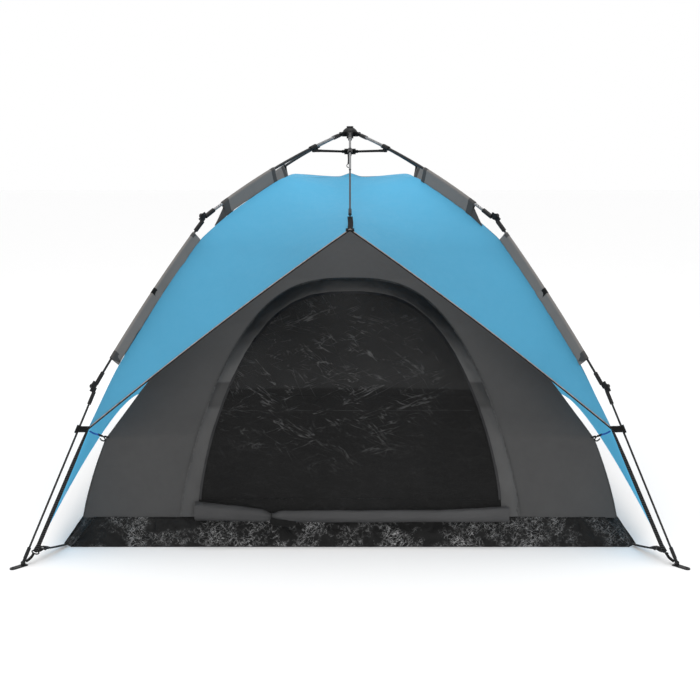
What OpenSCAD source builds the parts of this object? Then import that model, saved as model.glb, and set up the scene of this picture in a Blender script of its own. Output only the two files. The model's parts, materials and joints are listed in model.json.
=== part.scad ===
// Automatic dome tent: an umbrella hub with four jointed legs and two eave ribs,
// a fly sheet hung under the poles and an inner tent with a tub floor.
// Millimetres, +Z up, origin on the ground under the hub, the door faces -Y.

/* [Frame] */
// Height of the rib pivots in the hub
hub_z = 1420; // [1400:5:1440]
// Distance of the rib pivots from the hub's middle
hub_pivot_r = 50; // [46:1:54]
// Outside radius of the steel upper poles
upper_r = 5.5; // [5:0.25:6]
// Outside radius of the steel part of an eave rib
rib_r = 4.5; // [4.5:0.25:5]
// Radius of the glass-fibre middle poles
mid_r = 4; // [3.5:0.25:4.5]
// Radius of the glass-fibre lower poles
lower_r = 3.5; // [3:0.25:4]
// How far an upper pole bows outwards when pitched
upper_bow = 23; // [15:1:28]
// How far a middle pole bows outwards when pitched
mid_bow = 12; // [8:1:16]

/* [Hub and runner] */
// Radius of the hub's middle disc
hub_r = 33; // [30:1:34]
// Height of the runner's strut pivots when pitched
runner_z = 1348; // [1340:1:1352]
// Distance of the strut pivots from the runner's middle
runner_pivot_r = 40; // [39:1:42]

/* [Feet] */
// Radius of the peg hole in a foot plate
peg_hole_r = 5; // [4:0.5:6]
// Thickness of a foot plate
foot_t = 4; // [3:0.5:5]

/* [Cloth] */
// Thickness of the cloth solids
cloth_t = 0.5; // [0.4:0.1:1]
// Thickness of the tub floor's sheet
floor_t = 0.8; // [0.6:0.1:1.2]
// Half width of the tub floor on the ground
floor_half_x = 990; // [960:5:995]
// Half depth of the tub floor on the ground
floor_half_y = 1010; // [980:5:1015]
// Height of the tub wall
tub_h = 100; // [90:5:110]
// Half width of the door at the sill
door_half_w = 523; // [500:5:540]
// Height of the top of the door
door_top_z = 838; // [820:2:850]

/* [Hidden] */
$fn = 28;
EPS = 0.02;
GAP = 0.3;                 // running gap between parts of different bodies
PIN_GAP = 0.05;            // radial clearance of a hinge pin
SOCKET_GAP = 0.2;          // gap between a pole and its socket

// Legs, named by corner, with their plan angles. The sections of a leg lie side by side,
// lap apart, so a leg is turned a little for its foot to stand on the corner's diagonal.
LEGS = ["fl", "fr", "rr", "rl"];
RIBS = ["front", "rear"];
diagonal = 47.8;
lap = 9;
HEEL = [1600, 11];         // hinge pin of a foot plate, in a leg's plane [r, z]
turn = atan(2 * lap / HEEL[0]);
LEG_ANGLE = [180 + diagonal - turn, 360 - diagonal - turn, diagonal - turn, 180 - diagonal - turn];
RIB_ANGLE = [270, 90];

function leg_angle(k) = LEG_ANGLE[search([k], LEGS)[0]];
function rib_angle(k) = RIB_ANGLE[search([k], RIBS)[0]];
function vec(angle) = [cos(angle), sin(angle)];
function slope(p, q) = -atan2(q[1] - p[1], q[0] - p[0]);
function arc_radius(chord, bow) = (chord * chord / 4 + bow * bow) / (2 * bow);
function half_angle(chord, bow) = asin(chord / 2 / arc_radius(chord, bow));

// Joints of a leg in its own plane [r, z]
HIP = [hub_pivot_r, hub_z];
KNEE_1 = [800, 1105];
KNEE_2 = [1300, 549];
upper_slope = slope(HIP, KNEE_1);
mid_slope = slope(KNEE_1, KNEE_2);
lower_slope = slope(KNEE_2, HEEL);
upper_len = norm(KNEE_1 - HIP);
mid_len = norm(KNEE_2 - KNEE_1);
lower_len = norm(HEEL - KNEE_2);
upper_turn = half_angle(upper_len, upper_bow);
mid_turn = half_angle(mid_len, mid_bow);
knee_1_out = 13;           // how far outside the pole line a knee's pin is
knee_2_out = 12;
function knee_pin(knee, a, b, out) = knee + out * vec(90 - (a + b) / 2);
PIN_1 = knee_pin(KNEE_1, upper_slope + upper_turn, mid_slope - mid_turn, knee_1_out);
PIN_2 = knee_pin(KNEE_2, mid_slope + mid_turn, lower_slope, knee_2_out);

// Eave ribs
RIB_TIP = [735, 1130];
rib_slope = slope(HIP, RIB_TIP);
rib_len = norm(RIB_TIP - HIP);
rib_thick_len = 360;

clamp_half = 17;

pin_r = 3;
ear_t = 4;
tongue_half = 5;

// ---------- helpers ----------

// Places children in the vertical plane at a plan angle: X is outwards, Z is up.
module in_plane(angle) {
    rotate([0, 0, angle]) children();
}

// Places children at p in a plane with +Z along a slope; +X is then the inner side.
module along(p, a, y = 0) {
    translate([p[0], y, p[1]]) rotate([0, 90 + a, 0]) children();
}

// A cylinder across the plane at [x, z], from y0 to y1.
module across(x, z, r, y0, y1) {
    translate([x, y1, z]) rotate([90, 0, 0]) cylinder(r = r, h = y1 - y0);
}

// A box from one corner to the other.
module block(a, b) {
    translate(a) cube(b - a);
}

// Sweeps a 2-D profile along a bowed pole, from one share of its length to another.
module bowed(chord, bow, from, to) {
    R = arc_radius(chord, bow);
    half = half_angle(chord, bow);
    translate([R - bow, 0, chord / 2])
        rotate([90, 0, 0])
            rotate([0, 0, 180 + half * (1 - 2 * to)])
                rotate_extrude(angle = 2 * half * (to - from), $fn = 360)
                    translate([R, 0]) children();
}

// ---------- hub and runner ----------

// Two ears and a pin that hold a tongue at distance r from the axis.
module ears(r, from, eye, half_gap, thick, with_pin) {
    for (side = [-1, 1]) {
        y = side > 0 ? half_gap : -half_gap - thick;
        difference() {
            union() {
                across(r, 0, eye, y, y + thick);
                block([from, y, -eye], [r, y + thick, eye]);
            }
            if (!with_pin) across(r, 0, eye - 3, y - 1, y + thick + 1);
        }
    }
    if (with_pin) across(r, 0, pin_r, -half_gap - thick, half_gap + thick);
}

ALL_ANGLES = concat(LEG_ANGLE, RIB_ANGLE);

module hub() {
    color([0.12, 0.12, 0.13]) translate([0, 0, hub_z]) {
        cylinder(r = hub_r, h = 20, center = true);
        for (a = ALL_ANGLES) in_plane(a)
            ears(hub_pivot_r, hub_r - 7, 8.5, tongue_half + GAP, ear_t, true);
        translate([0, 0, -18]) cylinder(r = 14, h = 10);
    }
}

module hub_cap() {
    color([0.1, 0.1, 0.11]) translate([0, 0, hub_z + 10]) {
        difference() {
            translate([0, 0, -14]) sphere(r = 34, $fn = 48);
            translate([0, 0, -50]) cylinder(r = 40, h = 50);
        }
        cylinder(r = 14, h = 23);
    }
}

module runner() {
    color([0.1, 0.1, 0.11]) translate([0, 0, runner_z]) {
        difference() {
            cylinder(r = 24, h = 24, center = true);
            cylinder(r = 7, h = 30, center = true);
        }
        for (a = ALL_ANGLES) in_plane(a) {
            ears(runner_pivot_r, 20, 6.5, 3 + GAP, 3, false);
            for (side = [-1, 1])
                across(runner_pivot_r, 0, 4.5, side > 0 ? 4.5 : -7.5, side > 0 ? 7.5 : -4.5);
        }
    }
}

module pull_handle() {
    color([0.08, 0.08, 0.09]) translate([-9, 0, runner_z - 12]) {
        block([-4, -1.2, -40], [4, 1.2, 0]);
        translate([0, 0, -46]) rotate([90, 0, 0])
            rotate_extrude() translate([7, 0]) circle(r = 2.2);
    }
}

// ---------- poles ----------

// The plastic end that turns on a hub pin and holds the pole.
module hub_end(start_slope) {
    along(HIP, start_slope) {
        difference() {
            union() {
                across(0, 0, 7, -tongue_half, tongue_half);
                block([-6, -tongue_half, 0], [6, tongue_half, 26]);
                translate([0, 0, 22]) cylinder(r = 8, h = 34);
            }
            across(0, 0, pin_r + PIN_GAP, -tongue_half - 1, tongue_half + 1);
        }
    }
}

module upper_pole(k) {
    in_plane(leg_angle(k)) {
        color([0.14, 0.14, 0.15]) hub_end(upper_slope - upper_turn);
        color([0.5, 0.51, 0.53]) along(HIP, upper_slope)
            bowed(upper_len, upper_bow, 50 / upper_len, 1 - 16 / upper_len)
                difference() {
                    circle(r = upper_r);
                    circle(r = upper_r - 0.8);
                }
    }
}

// A clamp round a pole with a lug for the strut; it sits at the origin of a section frame.
module clamp_body(pole_radius, lug) {
    difference() {
        union() {
            translate([0, 0, -clamp_half]) cylinder(r = 9, h = 2 * clamp_half);
            block([0, -2.5, -6], [lug, 2.5, 6]);
            across(lug, 0, 6, -2.5, 2.5);
        }
        translate([0, 0, -clamp_half - 1])
            cylinder(r = pole_radius + SOCKET_GAP, h = 2 * clamp_half + 2);
    }
    across(lug, 0, 2.5, -6.5, 6.5);
}

// Where the clamp sits on a bowed upper pole: its share of the length and its tilt.
clamp_at = 178 / upper_len;
clamp_tilt = -upper_turn * (1 - 2 * clamp_at);
function bow_at(chord, bow, share) =
    let (R = arc_radius(chord, bow)) sqrt(R * R - pow(chord * (share - 0.5), 2)) - R + bow;
CLAMP = HIP + upper_len * clamp_at * vec(-upper_slope)
    + bow_at(upper_len, upper_bow, clamp_at) * vec(90 - upper_slope);
RIB_CLAMP = HIP + 180 * vec(-rib_slope);
// The strut pins sit a lug's length inside the poles.
lug = 15;
LEG_PIN = CLAMP - lug * vec(90 - upper_slope - clamp_tilt);
RIB_PIN = RIB_CLAMP - lug * vec(90 - rib_slope);

module clamp(k) {
    color([0.08, 0.08, 0.09]) in_plane(leg_angle(k))
        along(CLAMP, upper_slope + clamp_tilt) clamp_body(upper_r, lug);
}

// A moulded bar with a fork on the clamp's lug and a tongue between the runner's ears.
module strut_bar(pin) {
    inner = [runner_pivot_r, runner_z];
    reach = norm(pin - inner);
    color([0.09, 0.09, 0.1]) along(pin, slope(pin, inner)) {
        difference() {
            union() {
                for (y = [-2.5 - GAP - 3, 2.5 + GAP]) {
                    across(0, 0, 6, y, y + 3);
                    block([-5, y, 0], [5, y + 3, 20]);
                }
                block([-5, -5.8, 14], [5, 5.8, 26]);
                block([-4.5, -3, 26], [4.5, 3, reach - 12]);
                block([-4, -3, reach - 14], [4, 3, reach]);
                across(0, reach, 5, -3, 3);
            }
            across(0, 0, 2.5 + PIN_GAP, -7, 7);
            for (y = [-4, 2]) block([-2.2, y, 32], [2.2, y + 2, reach - 18]);
        }
    }
}

module leg_strut(k) {
    in_plane(leg_angle(k)) strut_bar(LEG_PIN);
}

module rib_strut(k) {
    in_plane(rib_angle(k)) strut_bar(RIB_PIN);
}

// One half of a knee, in the section frame at the knee's middle. dir is -1 for the
// half above the knee and 1 for the half below it. side is the lap half of the tab.
// The socket's bore leans to follow a pole bowed to radius bend, or is straight at 0.
module knee_half(socket_r, pole_radius, pin, dir, side, out, bend) {
    y0 = side > 0 ? lap / 2 + GAP / 2 : -1.5;
    y1 = side > 0 ? lap + 1.5 : lap / 2 - GAP / 2;
    centre = side > 0 ? lap : 0;
    eye = out - 4;
    start = dir > 0 ? 16 : -62;
    curve = bend > 0 ? 1 / (2 * bend) : 0;
    difference() {
        union() {
            translate([0, centre, dir > 0 ? 14 : -60]) cylinder(r = socket_r, h = 46);
            block([-out - 4, y0, dir > 0 ? pin[1] : -18], [4, y1, dir > 0 ? 18 : pin[1]]);
            across(pin[0], pin[1], eye, y0, y1);
        }
        translate([curve * start * start, centre, start])
            rotate([0, atan(curve * (2 * start + 46)), 0])
                cylinder(r = pole_radius + SOCKET_GAP, h = 46);
        if (side > 0) across(pin[0], pin[1], pin_r + PIN_GAP, y0 - 1, y1 + 1);
    }
}

// The rivet of a knee, fixed in the upper half: a shank and two heads.
module knee_rivet(pin) {
    across(pin[0], pin[1], pin_r, -1.5, lap + 2);
    across(pin[0], pin[1], 6, -4, -1.5 + EPS);
    across(pin[0], pin[1], 6, lap + 1.5 + GAP, lap + 4.5);
}

// A point of a leg's plane as [x, z] in the section frame at p.
function local(q, p, a) =
    let (d = q - p) [-(d[0] * sin(a) + d[1] * cos(a)), d[0] * cos(a) - d[1] * sin(a)];

knee_1_up = upper_slope + upper_turn;
knee_1_down = mid_slope - mid_turn;
knee_2_up = mid_slope + mid_turn;
mid_bend = arc_radius(mid_len, mid_bow);

module knee_1(k) {
    pin = local(PIN_1, KNEE_1, knee_1_up);
    color([0.08, 0.08, 0.09]) in_plane(leg_angle(k)) along(KNEE_1, knee_1_up) {
        knee_half(8.5, upper_r, pin, -1, -1, knee_1_out, arc_radius(upper_len, upper_bow));
        knee_rivet(pin);
    }
}

module mid_pole(k) {
    color([0.06, 0.06, 0.06]) in_plane(leg_angle(k)) along(KNEE_1, mid_slope, lap)
        bowed(mid_len, mid_bow, 17 / mid_len, 1 - 17 / mid_len) circle(r = mid_r);
}

module mid_sockets(k) {
    color([0.08, 0.08, 0.09]) in_plane(leg_angle(k)) {
        along(KNEE_1, knee_1_down)
            knee_half(8, mid_r, local(PIN_1, KNEE_1, knee_1_down), 1, 1, knee_1_out, mid_bend);
        pin = local(PIN_2, KNEE_2, knee_2_up);
        along(KNEE_2, knee_2_up, lap) {
            knee_half(7, mid_r, pin, -1, -1, knee_2_out, mid_bend);
            knee_rivet(pin);
        }
    }
}

module lower_pole(k) {
    color([0.06, 0.06, 0.06]) in_plane(leg_angle(k)) along(KNEE_2, lower_slope, 2 * lap)
        translate([0, 0, 17]) cylinder(r = lower_r, h = lower_len - 34);
}

module lower_socket(k) {
    color([0.08, 0.08, 0.09]) in_plane(leg_angle(k)) {
        along(KNEE_2, lower_slope, lap)
            knee_half(6.5, lower_r, local(PIN_2, KNEE_2, lower_slope), 1, 1, knee_2_out, 0);
        along(HEEL, lower_slope, 2 * lap) difference() {
            union() {
                translate([0, 0, -52]) cylinder(r = 6, h = 38);
                block([-4, -3, -16], [4, 3, 0]);
                across(0, 0, 5.5, -3, 3);
            }
            translate([0, 0, -54]) cylinder(r = lower_r + SOCKET_GAP, h = 38);
            across(0, 0, 2 + PIN_GAP, -4, 4);
        }
    }
}

// A flat plate with a peg hole, and two ears that hold the leg's end on a pin.
module foot(k) {
    hole_x = 38;
    half_w = 10;
    color([0.1, 0.1, 0.11]) in_plane(leg_angle(k)) translate([HEEL[0], 2 * lap, 0]) {
        difference() {
            union() {
                block([-12, -half_w, 0], [hole_x, half_w, foot_t]);
                translate([hole_x, 0, 0]) cylinder(r = half_w, h = foot_t);
            }
            translate([hole_x, 0, -1]) cylinder(r = peg_hole_r, h = foot_t + 2);
        }
        for (y = [-3 - GAP - 3, 3 + GAP]) {
            across(0, HEEL[1], 5, y, y + 3);
            block([-5, y, 1], [5, y + 3, HEEL[1]]);
        }
        across(0, HEEL[1], 2, -6, 6);
    }
}

module rib(k) {
    in_plane(rib_angle(k)) {
        color([0.14, 0.14, 0.15]) hub_end(rib_slope);
        color([0.5, 0.51, 0.53]) along(HIP, rib_slope)
            difference() {
                translate([0, 0, 50]) cylinder(r = rib_r, h = rib_thick_len - 50);
                translate([0, 0, 49]) cylinder(r = rib_r - 0.8, h = rib_thick_len - 70);
            }
        color([0.06, 0.06, 0.06]) along(HIP, rib_slope)
            translate([0, 0, rib_thick_len - 21])
                cylinder(r = lower_r, h = rib_len - rib_thick_len + 11);
    }
}

module rib_clamp(k) {
    color([0.08, 0.08, 0.09]) in_plane(rib_angle(k))
        along(RIB_CLAMP, rib_slope) clamp_body(rib_r, lug);
}

module rib_hook(k) {
    color([0.08, 0.08, 0.09]) in_plane(rib_angle(k)) along(RIB_TIP, rib_slope) {
        difference() {
            translate([0, 0, -36]) cylinder(r = 6, h = 38);
            translate([0, 0, -38]) cylinder(r = lower_r + SOCKET_GAP, h = 29);
        }
        translate([0, 0, 11]) rotate([90, 0, 0])
            rotate_extrude() translate([9, 0]) circle(r = 2);
    }
}

// ---------- cloth ----------

// A closed sheet over the grid f(u, v), u in -1..1 and v in 0..1, thickened along d.
module sheet(f, nu, nv, d) {
    w = nu + 1;
    n = w * (nv + 1);
    hand = -sign(cross(f(0.6, 0.5) - f(0.4, 0.5), f(0.5, 0.6) - f(0.5, 0.4)) * d);
    face = [for (j = [0:nv]) for (i = [0:nu]) f(hand * (2 * i / nu - 1), j / nv)];
    back = [for (p = face) p + d * cloth_t];
    rim = concat(
        [for (i = [0:nu]) i],
        [for (j = [1:nv]) j * w + nu],
        [for (i = [1:nu]) nv * w + nu - i],
        [for (j = [1:nv - 1]) (nv - j) * w]);
    m = len(rim);
    polyhedron(concat(face, back), concat(
        [for (j = [0:nv - 1]) for (i = [0:nu - 1]) let (a = j * w + i) [a, a + w, a + w + 1]],
        [for (j = [0:nv - 1]) for (i = [0:nu - 1]) let (a = j * w + i) [a, a + w + 1, a + 1]],
        [for (j = [0:nv - 1]) for (i = [0:nu - 1]) let (a = n + j * w + i) [a, a + w + 1, a + w]],
        [for (j = [0:nv - 1]) for (i = [0:nu - 1]) let (a = n + j * w + i) [a, a + 1, a + w + 1]],
        [for (i = [0:m - 1]) let (a = rim[i], b = rim[(i + 1) % m]) [a, b, b + n]],
        [for (i = [0:m - 1]) let (a = rim[i], b = rim[(i + 1) % m]) [a, b + n, a + n]]));
}

function mix(a, b, t) = a + (b - a) * t;
function crown(u) = 1 - u * u;

// The fly's edge under a pole: height over distance from the middle.
FLY_EDGE = [[0, 1262], [390, 1240], [785, 1068], [1262, 532], [1335, 408], [1540, 55]];
tab_r = 1335;
hem_r = 1540;
hem_mid_r = 1428;
peak_y = 830;
peak_z = 1068;
cd = cos(diagonal);
sd = sin(diagonal);
SEAM = 0.994;              // panels stop just short of a seam

function fly_z(r) = lookup(r, FLY_EDGE);
function fly_side(u, v) =
    let (end = mix(hem_r, hem_mid_r, crown(u)), r = mix(20, end, v),
         low = max(0, (r - 1000) / 430))
    [-cd * r - 50 * crown(u) * low, SEAM * u * sd * r,
     fly_z(r) - 24 * crown(u) * sin(180 * min(1, r / 1300))];
function fly_front(u, v) =
    let (r = mix(20, tab_r, v), edge = [cd * r, -sd * r, fly_z(r)],
         y = mix(20, peak_y, v), a = SEAM * abs(u),
         middle = [0, -y, mix(1255, peak_z, v) - 18 * sin(180 * v)],
         p = mix(middle, edge, a))
    [sign(u) * p[0], p[1], p[2]];

module fly_half() {
    sheet(function(u, v) fly_side(u, v), 8, 12, [0.5, 0, -0.85]);
    sheet(function(u, v) fly_front(u, v), 8, 10, [0, 0.5, -0.85]);
}

// A pole sleeve's web in the plane of a bowed pole, from one share of its length to another.
module sleeve(chord, bow, from, to, pole_radius, depth) {
    sheet(function(u, v)
        let (share = mix(from, to, v), across = mix(pole_radius + 1.5, depth, (u + 1) / 2))
        [across - bow_at(chord, bow, share), 0, chord * share], 2, 10, [0, 1, 0]);
}

module fly() {
    color([0.35, 0.68, 0.84]) {
        fly_half();
        rotate([0, 0, 180]) fly_half();
    }
    color([0.36, 0.36, 0.37]) for (k = LEGS) in_plane(leg_angle(k)) {
        along(HIP, upper_slope) sleeve(upper_len, upper_bow, 0.51, 0.866, upper_r, 31);
        along(KNEE_1, mid_slope, lap) sleeve(mid_len, mid_bow, 0.1, 0.84, mid_r, 28);
    }
}

// Inner tent: distance from the middle of the corner seam, and the middle of each wall,
// over the height.
CORNER_R = [[100, 1302], [363, 1262], [517, 1095], [720, 850], [880, 600], [1010, 350], [1090, 4]];
FRONT_Y = [[100, 965], [880, 620], [1010, 400], [1090, 4]];
SIDE_X = [[100, 929], [880, 500], [1010, 330], [1090, 4]];
top_x = 929;
top_y = 965;
roof_z = 1089;

function wall_point(u, v, across_k, out_k, corner_across, corner_out, middle) =
    let (z = mix(tub_h + 2, roof_z, v), r = lookup(z, CORNER_R), foot = max(0, 1 - (z - tub_h) / 150),
         a = mix(across_k * r, corner_across, foot), o = mix(out_k * r, corner_out, foot))
    [u * (SEAM * a - 1.2), mix(o, lookup(z, middle), crown(u)), z];

function front_wall(u, v) =
    let (p = wall_point(u, v, cd, sd, top_x, top_y, FRONT_Y)) [p[0], -p[1], p[2]];
function side_wall(u, v) =
    let (p = wall_point(u, v, sd, cd, top_y, top_x, SIDE_X)) [-p[1], p[0], p[2]];

// The arched door: half width at a height.
sill_z = 150;
function arch_w(z, half, top) =
    let (t = min(1, max(0, (z - sill_z) / (top - sill_z)))) half * pow(1 - pow(t, 1.45), 1 / 2.7);
function arch(half, top, n) = concat(
    [for (i = [0:n]) let (z = mix(sill_z, top, sin(90 * i / n))) [arch_w(z, half, top), z]],
    [for (i = [n - 1:-1:0]) let (z = mix(sill_z, top, sin(90 * i / n))) [-arch_w(z, half, top), z]]);

// Keeps what lies in a door-shaped prism in front of the tent's middle.
module doorway(grow) {
    translate([0, -100, 0]) rotate([90, 0, 0])
        linear_extrude(height = 1000) polygon(arch(door_half_w + grow, door_top_z + grow, 12));
}

module front_sheet() {
    sheet(function(u, v) front_wall(u, v), 12, 12, [0, 0.8, -0.3]);
}

module inner_front_wall() {
    color([0.3, 0.3, 0.3]) difference() {
        front_sheet();
        doorway(0);
    }
}

module inner_rear_wall() {
    color([0.3, 0.3, 0.3]) rotate([0, 0, 180]) front_sheet();
}

module inner_left_wall() {
    color([0.29, 0.29, 0.29]) sheet(function(u, v) side_wall(u, v), 8, 10, [0.8, 0, -0.3]);
}

module inner_right_wall() {
    color([0.29, 0.29, 0.29]) rotate([0, 0, 180])
        sheet(function(u, v) side_wall(u, v), 8, 10, [0.8, 0, -0.3]);
}

module door_mesh() {
    color([0.1, 0.1, 0.1]) intersection() {
        front_sheet();
        doorway(-1.5);
    }
}

// The storm flap over the door's zip: a band round the arch, just outside the wall.
module door_flap() {
    color([0.36, 0.36, 0.36]) difference() {
        intersection() {
            translate([0, -2.5, 1]) front_sheet();
            doorway(42);
        }
        doorway(3);
    }
}

// The door panel, rolled down along the sill.
module door_roll() {
    color([0.31, 0.31, 0.31]) translate([0, -1000, 128]) rotate([0, 90, 0]) difference() {
        cylinder(r = 22, h = 2 * door_half_w, center = true);
        cylinder(r = 17, h = 3 * door_half_w, center = true);
    }
}

// The tub: a flat floor with walls that lean inwards. half is -1 for the front half.
module tub(half) {
    lean = [floor_half_x - top_x, floor_half_y - top_y] / tub_h;
    module body(inset, z0, z1) {
        a = [floor_half_x, floor_half_y] - inset * [1, 1] - lean * z0;
        b = [floor_half_x, floor_half_y] - inset * [1, 1] - lean * z1;
        corners = [[-1, -1], [1, -1], [1, 1], [-1, 1]];
        polyhedron(
            concat([for (c = corners) [c[0] * a[0], c[1] * a[1], z0]],
                [for (c = corners) [c[0] * b[0], c[1] * b[1], z1]]),
            [[0, 1, 2, 3], [7, 6, 5, 4], [0, 4, 5, 1], [1, 5, 6, 2], [2, 6, 7, 3], [3, 7, 4, 0]]);
    }
    intersection() {
        difference() {
            body(0, 0, tub_h);
            body(floor_t, floor_t, tub_h + 5);
        }
        block([-1200, half < 0 ? -1200 : 0.3, -10], [1200, half < 0 ? -0.3 : 1200, 200]);
    }
}

module floor_front() {
    color([0.08, 0.08, 0.08]) tub(-1);
}

module floor_rear() {
    color([0.08, 0.08, 0.08]) tub(1);
}

// A flat strap between two points, w wide across the line and t thick.
module strap(p, q, w, t) {
    d = q - p;
    flat = norm([d[0], d[1]]);
    translate(p) rotate([0, 0, atan2(d[1], d[0])]) rotate([0, -atan2(d[2], flat), 0])
        translate([0, -w / 2, -t / 2]) cube([norm(d), w, t]);
}

// Corner straps with their buckles, pole tabs with their elastic ties, and the eave tapes.
module straps() {
    color([0.08, 0.08, 0.09]) {
        for (x = [0, 1]) for (y = [0, 1]) mirror([x, 0, 0]) mirror([0, y, 0]) {
            translate([floor_half_x, floor_half_y, 0]) rotate([0, 0, 66]) {
                strap([8, 0, 8], [104, 0, 20], 20, 1.6);
                block([102, -14, 14], [140, 14, 24]);
                strap([138, 0, 20], [174, 0, 8], 20, 1.6);
            }
            in_plane(diagonal) {
                strap([1342, 0, 405], [1368, 0, 418], 25, 1.6);
                strap([1282, 0, 372], [1328, 0, 396], 6, 3);
            }
        }
        for (side = [-1, 1]) strap([0, side * 752, 1110], [0, side * 826, 1076], 15, 1.6);
    }
}

// ---------- output ----------

hub();
hub_cap();
runner();
pull_handle();
for (k = RIBS) {
    rib(k);
    rib_clamp(k);
    rib_hook(k);
    rib_strut(k);
}
for (k = LEGS) {
    upper_pole(k);
    clamp(k);
    leg_strut(k);
    knee_1(k);
    mid_pole(k);
    mid_sockets(k);
    lower_pole(k);
    lower_socket(k);
    foot(k);
}
fly();
inner_front_wall();
inner_rear_wall();
inner_left_wall();
inner_right_wall();
floor_front();
floor_rear();
door_mesh();
door_roll();
door_flap();
straps();
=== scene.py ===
"""Looks of the pop up tent: cloth, webbing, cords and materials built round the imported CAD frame.

Metres, +Z up, the door faces -Y. Cloth is cut along the leg joints so that each part folds with its pole.
"""

import json
import math

import bmesh
import bpy
import numpy as np
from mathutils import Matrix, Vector, kdtree, noise

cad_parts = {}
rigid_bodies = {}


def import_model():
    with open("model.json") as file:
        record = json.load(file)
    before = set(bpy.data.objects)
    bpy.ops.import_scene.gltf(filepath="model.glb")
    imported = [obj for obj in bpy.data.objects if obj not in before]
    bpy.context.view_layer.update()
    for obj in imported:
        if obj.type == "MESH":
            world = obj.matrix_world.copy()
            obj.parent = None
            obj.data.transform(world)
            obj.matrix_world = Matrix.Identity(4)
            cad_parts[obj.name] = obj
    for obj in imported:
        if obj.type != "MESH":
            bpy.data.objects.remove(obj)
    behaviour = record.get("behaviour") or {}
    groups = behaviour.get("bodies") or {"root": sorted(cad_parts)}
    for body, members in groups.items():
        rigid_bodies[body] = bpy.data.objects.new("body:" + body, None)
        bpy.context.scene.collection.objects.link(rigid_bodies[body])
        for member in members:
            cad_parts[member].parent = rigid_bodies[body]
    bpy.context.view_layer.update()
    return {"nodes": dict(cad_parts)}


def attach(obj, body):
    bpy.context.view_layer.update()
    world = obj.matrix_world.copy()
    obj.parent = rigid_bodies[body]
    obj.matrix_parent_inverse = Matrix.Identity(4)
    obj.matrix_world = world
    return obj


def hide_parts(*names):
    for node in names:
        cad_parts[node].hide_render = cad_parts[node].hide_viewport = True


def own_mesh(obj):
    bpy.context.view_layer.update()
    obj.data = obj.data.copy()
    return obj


for default in list(bpy.data.objects):
    bpy.data.objects.remove(default)
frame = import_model()
NODES = frame["nodes"]
# Without a seed, noise_vector starts from the clock and every run bends the cloth differently.
noise.seed_set(1794845304)

# ---------- camera ----------



def add_object(name, data):
    obj = bpy.data.objects.new(name, data)
    bpy.context.scene.collection.objects.link(obj)
    return obj


camera_data = bpy.data.cameras.new("camera")
camera = add_object("camera", camera_data)
camera.location = (0, -4.7765, 1.3745)
camera.rotation_euler = (math.radians(90 - 6.786), 0, 0)
camera_data.sensor_width = 36
camera_data.lens = 58.296
camera_data.shift_y = -0.1
camera_data.clip_end = 60
bpy.context.scene.camera = camera

# ---------- the frame's measures, as in the CAD source ----------

DIAGONAL = math.radians(47.8)
CD, SD = math.cos(DIAGONAL), math.sin(DIAGONAL)
LAP = 0.009
HIP, KNEE_1, KNEE_2, HEEL = (0.05, 1.42), (0.8, 1.105), (1.3, 0.549), (1.6, 0.011)
UPPER_BOW, MID_BOW = 0.023, 0.012
TURN = math.atan(2 * LAP / HEEL[0])
CORNERS = {"fl": (-1, -1), "fr": (1, -1), "rr": (1, 1), "rl": (-1, 1)}
LEG_ANGLE = {
    "fl": math.pi + DIAGONAL - TURN,
    "fr": -DIAGONAL - TURN,
    "rr": DIAGONAL - TURN,
    "rl": math.pi - DIAGONAL - TURN,
}
TAB_R, TAB_Z = 1.335, 0.410
TUB_H = 0.088
DOOR_HALF, DOOR_TOP, SILL = 0.523, 0.838, 0.15
NET_FOOT = 0.106


def mix(a, b, t):
    return a + (b - a) * t


def slope(p, q):
    """Downward angle of the line from p to q in a leg's plane."""
    return -math.atan2(q[1] - p[1], q[0] - p[0])


def section_point(start, end, bow, share, depth):
    """A point in a leg's plane, depth inside a bowed pole's centreline."""
    angle = slope(start, end)
    chord = math.hypot(end[0] - start[0], end[1] - start[1])
    radius = (chord * chord / 4 + bow * bow) / (2 * bow)
    rise = math.sqrt(radius**2 - (chord * (share - 0.5)) ** 2) - radius + bow - depth
    return (
        start[0] + chord * share * math.cos(angle) + rise * math.sin(angle),
        start[1] - chord * share * math.sin(angle) + rise * math.cos(angle),
    )


def upper_at(share, depth=0.0):
    return section_point(HIP, KNEE_1, UPPER_BOW, share, depth)


def mid_at(share, depth=0.0):
    return section_point(KNEE_1, KNEE_2, MID_BOW, share, depth)


def in_leg(leg, r, z, y=0.0):
    """A point of a leg's plane in the row frame."""
    a = LEG_ANGLE[leg]
    return Vector((r * math.cos(a) - y * math.sin(a), r * math.sin(a) + y * math.cos(a), z))


def on_diagonal(leg, r, z):
    sx, sy = CORNERS[leg]
    return Vector((sx * CD * r, sy * SD * r, z))


# ---------- mesh helpers ----------


def ride_piece(obj, body):
    """Lets a piece move with a body."""
    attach(obj, body)
    return obj


def wobble(points, scale, amount, seed=0.0, axis=None):
    """Moves points by smooth noise of a given wavelength, along axis if one is given."""
    out = np.array(points, float)
    flat = out.reshape(-1, 3)
    offset = Vector((seed * 3.1, seed * 7.7, seed * 1.9))
    for i, p in enumerate(flat):
        at = Vector(p) / scale + offset
        if axis is None:
            n = noise.noise_vector(at)
            flat[i] += amount * np.array(n)
        else:
            flat[i] += amount * noise.noise(at) * np.array(axis)
    return flat.reshape(out.shape)


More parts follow.
